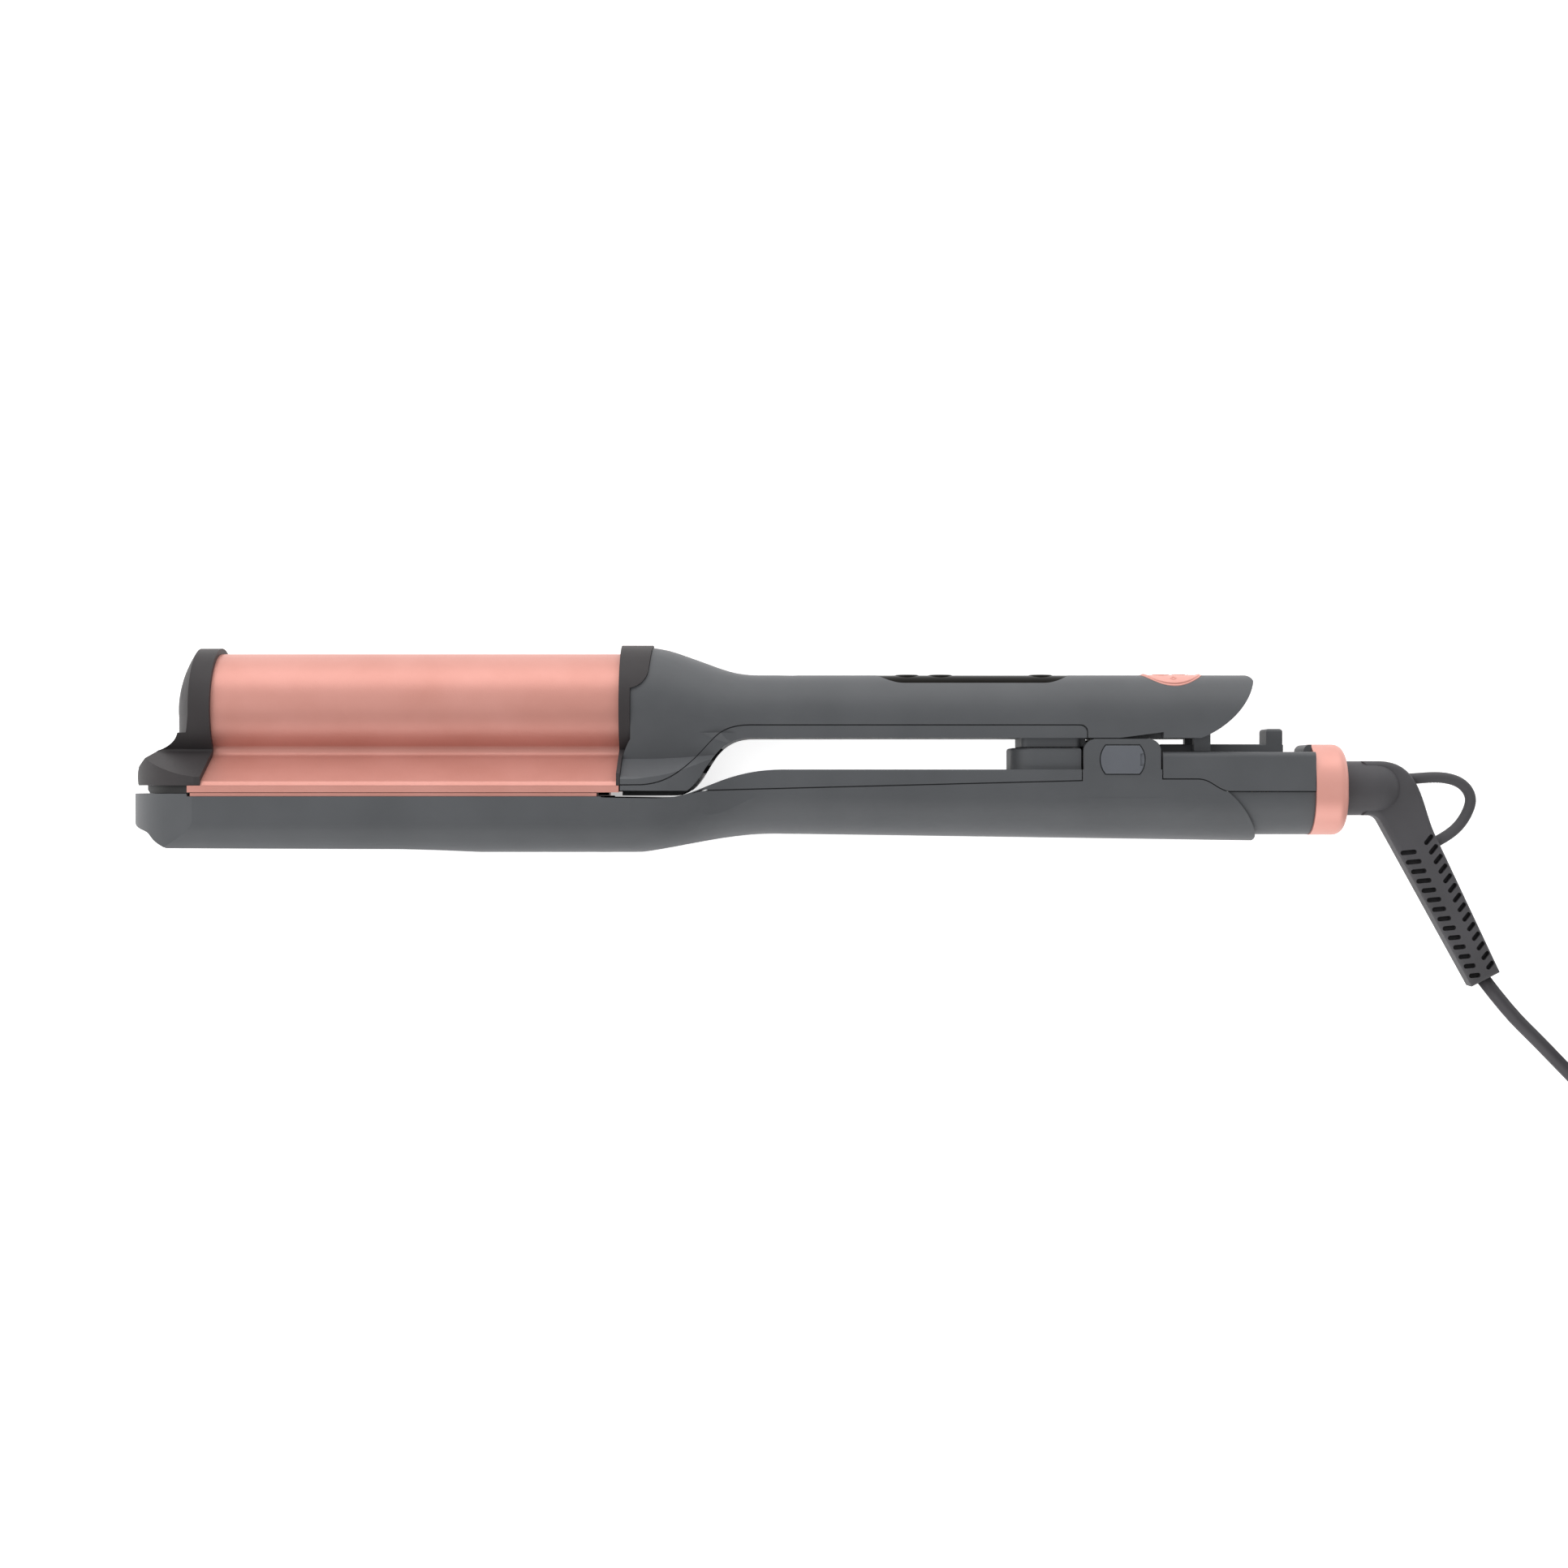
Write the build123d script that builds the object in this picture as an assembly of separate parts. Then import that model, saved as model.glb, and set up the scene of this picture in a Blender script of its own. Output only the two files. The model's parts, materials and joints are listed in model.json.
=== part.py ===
from build123d import *
import os
from math import cos, hypot, pi, radians, sin, tan

# A deep-wave curling iron lying on its side. X runs from the tip to the cord, Y from the
# lower arm to the upper arm, Z up from the surface it lies on. All sizes in millimetres.
# The parts are drawn about the middle plane Z = 0 and lifted by JAW_HALF when they are written.

# ---------------------------------------------------------------- driving dimensions
JAW_HALF = 28.5          # half the width of both jaws
GRIP_HALF = 13.0         # half the width of the handles
WALL = 2.0               # moulded wall
SEAM = 0.34              # width of the groove where two mouldings meet
SEAM_DEEP = 1.0          # its depth; behind it they touch
TIP_X = -171.6
END_X = 170.4
BARREL_Y, BARREL_R = 10.7, 15.9
BARREL_WALL = 1.0
BARREL_FROM, BARREL_TO = -147.5, -33.8
CAP_PROUD, COLLAR_PROUD = 1.6, 2.45
BOTTOM_Y = -29.05
BRIM_Y = -10.7           # lower edge of the barrel's brim
LIP_Y = -12.6            # lower edge of the upper wave plate
STRIP_Y = -12.75         # upper edge of the lower wave plate
RIM_Y = -13.7            # rim of the lower shell beside the plate
HAIR_GAP = 0.8
PLATE_FROM, PLATE_TO = -151.0, -38.0
GRIP_TOP = 20.6
UPPER_PARTING, UPPER_BOTTOM = 6.2, 2.6
COVER_END = 96.9         # where the upper inner cover stops
LOWER_TOP = -6.25
HINGE_X, HINGE_Y = 106.7, -3.5
PIN_R = 2.5
EAR_FROM, EAR_TO, EAR_IN = 95.9, 117.4, 9.8
EAR_TOP = 2.3
HOUSING_FROM, HOUSING_TOP = 117.9, -1.3
CHANNEL_END = 158.6
RING_FROM = 160.9
SWIVEL_Y = -11.5
LOCK_TRAVEL = 4.5
CORD_D = 4.0
COIL_C = (286.0, -97.0)  # centre of the put-away coil
COIL_LIFT = 0.8          # the strap passes under the coil
COIL_PITCH = 4.1         # from turn to turn across the coil
COIL_RISE = 3.5          # from layer to layer, because the flex is flat
COIL_R = 27.1            # centre line of the outer turns
COIL_LAYERS, COIL_COLUMNS = 4, 3


# ---------------------------------------------------------------- helpers
def station(x):
    """A drawing plane across the iron: its second axis is +Y."""
    return Plane(origin=(x, 0, 0), x_dir=(0, 0, -1), z_dir=(1, 0, 0))


def along(section, x0, x1):
    """A section drawn across the iron, run from x0 to x1."""
    return extrude(station(x0) * section, amount=x1 - x0)


def slab(face, z0, z1):
    """A side outline run from z0 to z1."""
    return extrude(Pos(0, 0, z0) * face, amount=z1 - z0)


def column(face, y0, y1):
    """A plan outline, drawn as X and Z, run from y0 up to y1."""
    return extrude(Pos(0, y1, 0) * Rot(90, 0, 0) * face, amount=y1 - y0)


def closed(*points):
    return make_face(Polyline(*points, close=True))


def block(x0, x1, y0, y1, z0, z1):
    return Pos((x0 + x1) / 2, (y0 + y1) / 2, (z0 + z1) / 2) * Box(x1 - x0, y1 - y0, z1 - z0)


def both_sides(shape):
    return shape + mirror(shape, about=Plane.XY)


def rod_x(x0, x1, y, z, r):
    return Pos(x0, y, z) * Rot(0, 90, 0) * extrude(Circle(r), amount=x1 - x0)


def rod_y(x, y0, y1, z, r):
    return Pos(x, y1, z) * Rot(90, 0, 0) * extrude(Circle(r), amount=y1 - y0)


def rod_z(x, y, z0, z1, r):
    return Pos(x, y, z0) * extrude(Circle(r), amount=z1 - z0)


def dome(half, top, bottom):
    """A section with a flat foot and a full round top."""
    r = half - 0.2
    plate = Pos(0, (top + bottom) / 2) * Rectangle(2 * half, top - bottom)
    return fillet(plate.vertices().group_by(Axis.Y)[-1], r)


def keel(half, top, bottom, r):
    """A section with a flat top and a rounded foot."""
    plate = Pos(0, (top + bottom) / 2) * Rectangle(2 * half, top - bottom)
    return fillet(plate.vertices().group_by(Axis.Y)[0], r)


def solids(shape):
    found = shape.solids()
    return found[0] if len(found) == 1 else Compound(children=list(found))


# ---------------------------------------------------------------- plan of the jaws
def jaw_plan(inset=0.0):
    """The width of the arms seen from the top: a blunt nose, straight jaws, a waist, the grip."""
    wide, slim, nose = JAW_HALF - inset, GRIP_HALF - inset, TIP_X + inset
    half = [
        ThreePointArc((nose, 0), (nose + 5.6, 17 - inset / 2), (nose + 22, wide)),
        Line((nose + 22, wide), (-30, wide)),
        Spline((-30, wide), (-12, (wide + slim) / 2), (6, slim), tangents=((1, 0), (1, 0))),
        Line((6, slim), (END_X, slim)),
        Line((END_X, slim), (END_X, 0)),
        Line((END_X, 0), (nose, 0)),
    ]
    face = make_face(half)
    return face + mirror(face, about=Plane.XZ)


# ---------------------------------------------------------------- bell section of the barrel
def bell(offset_by=0.0, foot=BRIM_Y):
    """Round barrel, narrow neck and flared brim, grown outwards by offset_by."""
    neck, neck_y = 12.0, BARREL_Y - (BARREL_R**2 - 12.0**2) ** 0.5
    side = [
        ThreePointArc((0, BARREL_Y + BARREL_R), (BARREL_R, BARREL_Y), (neck, neck_y)),
        ThreePointArc((neck, neck_y), (12.0, -1.6), (13.4, -2.9)),
        Line((13.4, -2.9), (27.2, -9.6)),
        Line((27.2, -9.6), (27.9, BRIM_Y)),
        Line((27.9, BRIM_Y), (0, BRIM_Y)),
        Line((0, BRIM_Y), (0, BARREL_Y + BARREL_R)),
    ]
    face = make_face(side)
    face = face + mirror(face, about=Plane.YZ)
    if offset_by:
        face = offset(face, amount=offset_by)
    limit = Pos(0, foot + 60) * Rectangle(2 * JAW_HALF, 120)
    return face & limit


def tunnel(shrink=0.0):
    """The wavy space between the jaws: a round ridge with a slope each side."""
    half, r = [], 8.5
    half.append(ThreePointArc((0, 12.0), (r * sin(pi / 4), 3.5 + r * cos(pi / 4)), (r, 3.5)))
    half.append(Line((r, 3.5), (r, -3.4)))
    half.append(ThreePointArc((r, -3.4), (8.8, -4.3), (9.6, -4.8)))
    half.append(Line((9.6, -4.8), (27.0, LIP_Y)))
    half.append(Line((27.0, LIP_Y), (27.0, LIP_Y - 8)))
    half.append(Line((27.0, LIP_Y - 8), (0, LIP_Y - 8)))
    half.append(Line((0, LIP_Y - 8), (0, 12.0)))
    face = make_face(half)
    face = face + mirror(face, about=Plane.YZ)
    return offset(face, amount=-shrink) if shrink else face


# ---------------------------------------------------------------- the two arms as closed bodies
def waist(top_or_keel, inset):
    """The arm from the jaws' straight part to the grip, as a loft of sections."""
    stations = [-40, -35, -30, -24, -18, -12, -6, 0, 6, 11, 16]
    return loft([station(x) * top_or_keel(x, inset) for x in stations])


def ease(x, x0, x1):
    t = min(max((x - x0) / (x1 - x0), 0), 1)
    return t * t * (3 - 2 * t)


def upper_side(inset=0.0):
    """Side outline of the upper arm behind the collar; its top is left to the sections."""
    down, rim = UPPER_BOTTOM + inset, LIP_Y - 0.9 + inset
    tail, low = 144.3 - inset, GRIP_TOP - 2 - inset
    return make_face([
        Line((-40, rim), (-40, 32)),
        Line((-40, 32), (tail - 2.2, 32)),
        Line((tail - 2.2, 32), (tail - 2.2, GRIP_TOP - inset)),
        ThreePointArc((tail - 2.2, GRIP_TOP - inset), (tail - 0.5, GRIP_TOP - 0.6 - inset), (tail, low)),
        ThreePointArc((tail, low), (139.6 - inset, 10.3 + inset / 2), (128.8 - inset, down)),
        Line((128.8 - inset, down), (3, down)),
        Spline((3, down), (-8.9 + inset, -4.6 + inset), (-17.5, rim), tangents=((-1, 0), (-1, -0.3))),
        Line((-17.5, rim), (-40, rim)),
    ])


def upper_body(inset=0.0):
    def section(x, less):
        half = 17.6 - (17.6 - GRIP_HALF) * ease(x, -26, 10)
        top = 28.4 - (28.4 - GRIP_TOP) * ease(x, -27, 4)
        return dome(half - less, top - less, -20)

    inside = slab(upper_side(inset), -30, 30)
    grip = along(dome(GRIP_HALF - inset, GRIP_TOP - inset, -20), 16, 150)
    brim = along(bell(COLLAR_PROUD - 1.0 - inset, foot=-20), -40, 20) & column(jaw_plan(inset), -30, 4)
    return (waist(section, inset) & inside) + (grip & inside) + (brim & inside)


def lower_side(inset=0.0):
    """Side outline of the lower arm, rim to foot."""
    foot = BOTTOM_Y + inset
    return make_face([
        Line((-171.5 + inset, -12.95), (TIP_X + inset, -15.4)),
        Spline((TIP_X + inset, -15.4), (-169.9 + inset, -21.6 + inset / 2), (-164.4 + inset, -23.6 + inset),
               (-157.6 + inset, -28.0 + inset), tangents=((0, -1), (1, -0.4))),
        Line((-157.6 + inset, -28.0 + inset), (-97.8, -28.2 + inset)),
        Spline((-97.8, -28.2 + inset), (-27.0, foot), (10, -24.4 + inset), tangents=((1, 0), (1, 0))),
        Line((10, -24.4 + inset), (END_X, -26.7 + inset)),
        Line((END_X, -26.7 + inset), (END_X, LOWER_TOP - inset)),
        Line((END_X, LOWER_TOP - inset), (12, LOWER_TOP - inset)),
        Spline((12, LOWER_TOP - inset), (-3.6, -8.7 - inset), (-12, -12.0 - inset), (-24, -14.2),
               tangents=((-1, 0), (-1, 0))),
        Line((-24, -14.2), (-37.8, -14.0)),
        Line((-37.8, -14.0), (-38.0, RIM_Y)),
        Line((-38.0, RIM_Y), (-151.0, RIM_Y)),
        Line((-151.0, RIM_Y), (-151.2, -12.95)),
        Line((-151.2, -12.95), (-171.5 + inset, -12.95)),
    ])


def lower_body(inset=0.0):
    def section(x, less):
        t = ease(x, -30, 6)
        half = JAW_HALF - (JAW_HALF - GRIP_HALF) * t
        foot = -29.1 + 4.6 * ease(x, -28, 8)
        return keel(half - less, 0, foot + less, 9.0 + 3.7 * t - less)

    jaws = along(keel(JAW_HALF - inset, 0, -29.1 + inset, 9.0 - inset), -176, -40)
    ends = [station(x) * keel(GRIP_HALF - inset, 0, foot + inset, 12.7 - inset)
            for x, foot in ((16, -24.5), (176, -26.8))]
    grip = loft(ends, ruled=True)
    whole = jaws + waist(section, inset) + grip
    return whole & slab(lower_side(inset), -30, 30) & column(jaw_plan(inset), -40, 5)


# ---------------------------------------------------------------- parting lines
def above_upper_parting(shift=0.0):
    """The outer shell's share of the upper arm: above the seam, and all of the tail."""
    y, end = UPPER_PARTING + shift, COVER_END + shift
    return slab(make_face([
        Line((-45, -10.7 + shift), (-27, -10.5 + shift)),
        Spline((-27, -10.5 + shift), (-15.4, -5.7 + shift), (-8.9, 1.0 + shift), (3, y),
               tangents=((1, 0.05), (1, 0))),
        Line((3, y), (end - 2, y)),
        ThreePointArc((end - 2, y), (end - 0.6, y - 0.6), (end, y - 2)),
        Line((end, y - 2), (end, -40)),
        Line((end, -40), (160, -40)),
        Line((160, -40), (160, 60)),
        Line((160, 60), (-45, 60)),
        Line((-45, 60), (-45, -10.7 + shift)),
    ]), -40, 40)


def above_lower_parting(shift=0.0):
    """The inner cover's share of the lower arm."""
    return slab(make_face([
        Line((-10.8, -12.1 + shift), (95.6, -9.35 + shift)),
        Line((95.6, -9.35 + shift), (95.6, 40)),
        Line((95.6, 40), (-13.4 - shift, 40)),
        Line((-13.4 - shift, 40), (-13.4 - shift, -12.9)),
        Line((-13.4 - shift, -12.9), (-10.8, -12.1 + shift)),
    ]), -40, 40)


def seam(share, body):
    """The groove along a parting line, cut into the outside of both mouldings."""
    band = share(-SEAM / 2) - share(SEAM / 2)
    return band - body(SEAM_DEEP)


# ---------------------------------------------------------------- lower arm
def lower_shell():
    body = lower_body() - lower_body(WALL)
    body -= above_lower_parting() + seam(above_lower_parting, lower_body)
    body -= column(jaw_plan(WALL), -16, 20) & block(-176, -13.4, -16, 20, -40, 40)
    # behind the ears the grip is stepped down to a neck and is open for the rear housing
    step = make_face([
        ThreePointArc((135.6, -12.0), (141.3, -18.0), (144.9, -24.8)),
        ThreePointArc((144.9, -24.8), (144.8, -26.2), (143.6, -27.4)),
        Line((143.6, -27.4), (143.6, -30)),
        Line((143.6, -30), (180, -30)),
        Line((180, -30), (180, -12.0)),
        Line((180, -12.0), (135.6, -12.0)),
    ])
    body -= slab(step, -40, 40)
    body -= slab(housing_seat(), -40, 40)
    neck_outer = along(keel(GRIP_HALF - 0.8, -12.45, -24.6, 11.6), 130.0, RING_FROM - 0.1)
    neck_inner = along(keel(GRIP_HALF - 0.8 - WALL, -8, -24.6 + WALL, 9.6), HOUSING_FROM, END_X)
    body += neck_outer - neck_inner - slab(housing_seat(), -40, 40)
    body -= housing_seam()
    body -= block(132, 175, -30, 0, -20, 20) & neck_inner
    body -= block(EAR_FROM - 0.5, EAR_TO + 0.4, -9.0, 10, -EAR_IN, EAR_IN)
    ear = closed((EAR_FROM, -14.0), (EAR_TO, -14.0), (EAR_TO, EAR_TOP), (EAR_FROM, EAR_TOP))
    ear = fillet(ear.vertices().group_by(Axis.Y)[-1], 3.4)
    body += both_sides(slab(ear, EAR_IN, GRIP_HALF))
    body -= rod_z(HINGE_X, HINGE_Y, -20, 20, PIN_R)
    # seats for the double-D caps over the pin
    body -= both_sides(slab(double_d(0.3), GRIP_HALF - 0.8, GRIP_HALF + 1))
    return body


def housing_seat(grow=0.0):
    """Side outline of what the rear housing fills, down to its wavy seam."""
    return make_face([
        Line((HOUSING_FROM - grow, -8.9 - grow), (127.6, -8.9 - grow)),
        Spline((127.6, -8.9 - grow), (136.6, -12.4 - grow), tangents=((1, 0), (1, -0.12))),
        Line((136.6, -12.4 - grow), (185, -12.4 - grow)),
        Line((185, -12.4 - grow), (185, 30)),
        Line((185, 30), (HOUSING_FROM - grow, 30)),
        Line((HOUSING_FROM - grow, 30), (HOUSING_FROM - grow, -8.9 - grow)),
    ])


def housing_seam():
    """The groove between the housing and the lower shell, on both sides."""
    band = housing_seat(SEAM / 2) - housing_seat(-SEAM / 2)
    return both_sides(slab(band, GRIP_HALF - 1.2, GRIP_HALF + 5))


def double_d(grow=0.0):
    disc = Pos(HINGE_X, HINGE_Y) * Circle(6.15 + grow)
    return disc & (Pos(HINGE_X, HINGE_Y) * Rectangle(20, 2 * (3.95 + grow)))


def hinge_caps():
    cap = slab(double_d(), GRIP_HALF - 0.8, GRIP_HALF + 0.3)
    cap -= block(HINGE_X + 5.0, HINGE_X + 7, HINGE_Y - 1.7, HINGE_Y + 1.7, GRIP_HALF - 0.2, GRIP_HALF + 1)
    return both_sides(fillet(cap.faces().sort_by(Axis.Z)[-1].outer_wire().edges(), 0.2))


def hinge_pin():
    return rod_z(HINGE_X, HINGE_Y, -(GRIP_HALF - 0.85), GRIP_HALF - 0.85, PIN_R - 0.03)


PEDESTAL = (75.9, 95.3)
SPRING_X = 86.4


def lower_handle_cover():
    body = (lower_body() - lower_body(WALL)) & above_lower_parting(0.01)
    body -= seam(above_lower_parting, lower_body)
    body &= block(-30, PEDESTAL[1], -20, 5, -40, 40)
    stand = block(PEDESTAL[0], PEDESTAL[1], -8.6, -0.15, -11.6, 11.6)
    stand = fillet(stand.edges().filter_by(Axis.Y).group_by(Axis.X)[0], 6.0)
    stand = fillet(stand.faces().sort_by(Axis.Y)[-1].outer_wire().edges(), 0.8)
    body += stand
    body -= rod_y(SPRING_X, -8.0, 5, 0, 6.4)
    body -= column(Pos(33.9, 0) * RectangleRounded(10.4, 19, 3), LOWER_TOP - 0.3, 0)
    return body


def lower_wave_plate():
    whole = tunnel(HAIR_GAP) & (Pos(0, 0) * Rectangle(80, 2 * 13.35))
    whole += Pos(0, (STRIP_Y + RIM_Y + 0.05) / 2) * Rectangle(2 * (JAW_HALF - 0.35), STRIP_Y - RIM_Y - 0.05)
    hollow = tunnel(HAIR_GAP + 2.2) & (Pos(0, -5) * Rectangle(48, 60))
    return along(whole - hollow, PLATE_FROM + 0.8, PLATE_TO - 1.1)


def lower_plate_carrier():
    frame = block(-149.5, -40.5, -26.0, -14.0, -22, 22) - block(-147, -43, -30, 0, -19.5, 19.5)
    frame &= lower_body(WALL + 0.3)
    ribs = [block(x, x + 2.5, -24.0, 2.4, -4.0, 4.0) + block(x, x + 2.5, -24.0, -21.5, -19.6, 19.6)
            for x in (-138, -96, -54)]
    return frame + ribs[0] + ribs[1] + ribs[2] + block(-138, -51.5, 2.3, 3.9, -4.2, 4.2)


def lower_heater():
    return block(-141, -48, 4.0, 5.8, -4.5, 4.5)


def thermal_fuse():
    return rod_x(-33.0, -22.0, -20.0, 0, 1.9) + rod_x(-36.0, -19.0, -20.0, 0, 0.5)


def power_board():
    board = block(12, 70, -17.6, -16.0, -8.5, 8.5)
    parts = block(18, 32, -16.0, -10.4, -6, 6) + rod_y(42, -16.0, -10.6, 0, 4) + block(52, 60, -16, -12.5, -5, 5)
    return board + parts


def rear_housing():
    half = GRIP_HALF - 0.1
    whole = block(HOUSING_FROM, RING_FROM - 0.1, -30, HOUSING_TOP, -half, half)
    whole = fillet(whole.edges().filter_by(Axis.X).group_by(Axis.Y)[-1], 1.6)
    whole &= slab(housing_seat(-0.01), -20, 20)
    whole -= housing_seam()
    lip = make_face([
        Line((RING_FROM - 0.1, -4), (RING_FROM - 0.1, 0.8)),
        Line((RING_FROM - 0.1, 0.8), (CHANNEL_END + 1.6, 0.8)),
        ThreePointArc((CHANNEL_END + 1.6, 0.8), (CHANNEL_END + 0.45, 0.2), (CHANNEL_END, HOUSING_TOP)),
        Line((CHANNEL_END, HOUSING_TOP), (CHANNEL_END, -4)),
        Line((CHANNEL_END, -4), (RING_FROM - 0.1, -4)),
    ])
    whole += slab(lip, -6.5, 6.5)
    whole -= block(HOUSING_FROM + 1.5, 159.4, -20, HOUSING_TOP - 1.5, -half + 1.6, half - 1.6)
    whole -= block(LOCK_KEEL[0] - 0.6, LOCK_KEEL[1] + LOCK_TRAVEL + 0.6, -20, 5, -2.3, 2.3)
    whole -= both_sides(block(TAIL_LEG[0] - 2.4, TAIL_LEG[1] + 3.0, -20, 5, 5.9, 10.2))
    whole -= rod_x(150, 170, SWIVEL_Y, 0, 9.2)
    return whole


def end_ring():
    ring = along(Pos(0, -11.9) * RectangleRounded(2 * 13.3, 25.6, 11.5), RING_FROM, END_X)
    rear = ring.faces().sort_by(Axis.X)[-1]
    ring = fillet(rear.outer_wire().edges(), 3.0)
    ring -= rod_x(150, 180, SWIVEL_Y, 0, 8.1)
    ring -= rod_x(150, RING_FROM + 2.1, SWIVEL_Y, 0, 9.2)
    return ring


def swivel_socket():
    body = rod_x(151.8, RING_FROM + 2.0, SWIVEL_Y, 0, 9.1) - rod_x(150, 160.2, SWIVEL_Y, 0, 7.9)
    body -= rod_x(150, 170, SWIVEL_Y, 0, 6.05)
    return body


def contact_brushes():
    arms = block(143.0, 145.0, SWIVEL_Y - 8, SWIVEL_Y - 4.2, -3.0, -1.5)
    arms += block(147.2, 149.2, SWIVEL_Y - 8, SWIVEL_Y - 4.2, 1.5, 3.0)
    base = block(141.5, 150.5, SWIVEL_Y - 9.6, SWIVEL_Y - 8, -4, 4)
    return arms + base


def opening_spring():
    """Round-wire compression spring standing between the two arms."""
    coil = Helix(pitch=2.24, height=11.2, radius=4.6)
    start = Plane(origin=coil @ 0, z_dir=coil % 0)
    wire = sweep(start * Circle(0.55), path=coil, is_frenet=True)
    return Pos(SPRING_X, -7.3, 0) * Rot(-90, 0, 0) * wire


def lock_detent_spring():
    leaf = closed((131, -7.3), (149, -7.3), (149, -6.9), (143, -6.9), (141.5, -5.2), (140, -6.9), (131, -6.9))
    return slab(leaf, -2.5, 2.5)


# ---------------------------------------------------------------- lock slider
LOCK_BAR = (118.5, 153.1)
LOCK_POST = (148.3, 152.9)
LOCK_KEEL = (136.5, 146.5)
TAIL_LEG = (127.2, 131.8)


def lock_slider():
    """A flat bar with a thumb post on top and a keel that a foot holds in the housing's slot."""
    bar = block(LOCK_BAR[0], LOCK_BAR[1], HOUSING_TOP + 0.1, 0.95, -5, 5)
    bar = fillet(bar.faces().sort_by(Axis.Y)[-1].outer_wire().edges(), 0.4)
    post = block(LOCK_POST[0], LOCK_POST[1], 0.2, 5.3, -5, 5)
    post = fillet(post.faces().sort_by(Axis.Y)[-1].outer_wire().edges(), 0.9)
    web = block(LOCK_KEEL[0], LOCK_KEEL[1], -4.4, HOUSING_TOP + 0.2, -2.0, 2.0)
    foot = block(LOCK_KEEL[0], LOCK_KEEL[1], -4.9, -3.1, -4.0, 4.0)
    return bar + post + web + foot


# ---------------------------------------------------------------- upper arm
def collar_rear():
    """Rear edge of the collar: straight at the sides, with a lobe over the top."""
    return [
        Line((-32.8, -40), (-32.8, -3.3)),
        ThreePointArc((-32.8, -3.3), (-32.0, -0.5), (-30.7, 2.2)),
        Line((-30.7, 2.2), (-30.7, 16.4)),
        ThreePointArc((-30.7, 16.4), (-27.1, 18.4), (-25.6, 22.4)),
        Line((-25.6, 22.4), (-23.9, 40)),
    ]


def collar_zone(x0):
    edge = collar_rear()
    return slab(make_face(edge + [Line((-23.9, 40), (x0, 40)), Line((x0, 40), (x0, -40)),
                                  Line((x0, -40), (-32.8, -40))]), -40, 40)


def rear_collar():
    body = along(bell(COLLAR_PROUD, foot=BRIM_Y), BARREL_TO, -20) & collar_zone(-40)
    body &= column(jaw_plan(0.4), -40, 40)
    body -= along(bell(0.05, foot=-40), -40, -32.95)
    body -= along(bell(-BARREL_WALL - 1.5, foot=-40), -40, -20)
    body -= block(-40, -20, -30, BRIM_Y + 0.01, -40, 40)
    return body


def upper_shells():
    hollow = upper_body() - upper_body(WALL)
    return hollow - Pos(0.1, 0, 0) * collar_zone(-60) - seam(above_upper_parting, upper_body)


def upper_handle_shell(hollow):
    """Outer moulding: dome, grip, the knuckle between the ears and the forked tail."""
    body = hollow & above_upper_parting(0.01)
    skin = upper_body(-1) - upper_body(PANEL_DEEP)
    body -= panel_column(0.1) & skin
    body -= badge_column(0.1) & skin
    for x in BUTTON_X:
        body -= rod_y(x, 8, 40, 0, 4.2)
    body -= block(DISPLAY[0] - 0.4, DISPLAY[1] + 0.4, 10, 40, -4.4, 4.4)
    root = HINGE_Y + 8.3
    knuckle = Pos(HINGE_X, HINGE_Y) * Circle(6.0) + closed(
        (HINGE_X - 6.0, HINGE_Y), (HINGE_X + 6.0, HINGE_Y), (HINGE_X + 8.0, root), (HINGE_X - 8.0, root))
    body += slab(knuckle, -(EAR_IN - 0.2), EAR_IN - 0.2)
    body -= rod_z(HINGE_X, HINGE_Y, -20, 20, PIN_R + 0.03)
    # room for the ears' rear corners when the jaws open
    relief = closed((HINGE_X - 1, 0), (EAR_TO + 0.8, 0), (EAR_TO + 0.8, EAR_TOP + 1.9), (HINGE_X - 1, EAR_TOP + 0.25))
    body -= both_sides(slab(relief, EAR_IN - 0.2, GRIP_HALF + 1))
    # the tail straddles the lock bar: a groove over it and a leg each side
    body -= block(LOCK_BAR[0] - 1.6, 150, 0, 5.3, -5.6, 5.6)
    return body + both_sides(block(TAIL_LEG[0], TAIL_LEG[1], -1.1, 5.0, 6.4, 9.6))


def upper_handle_cover(hollow):
    """Inner moulding, with the cup over the opening spring."""
    body = hollow - above_upper_parting(-0.01)
    cup = block(78.7, PEDESTAL[1], 0.1, 4.0, -10.6, 10.6)
    cup = fillet(cup.edges().filter_by(Axis.Y), 1.6)
    body += cup + block(94, COVER_END - 0.1, 0.3, 4.0, -9.0, 9.0)
    body -= rod_y(SPRING_X, -1, 5.2, 0, 6.4)
    return body + rod_y(SPRING_X, 4.6, 5.9, 0, 7.6)


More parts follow.
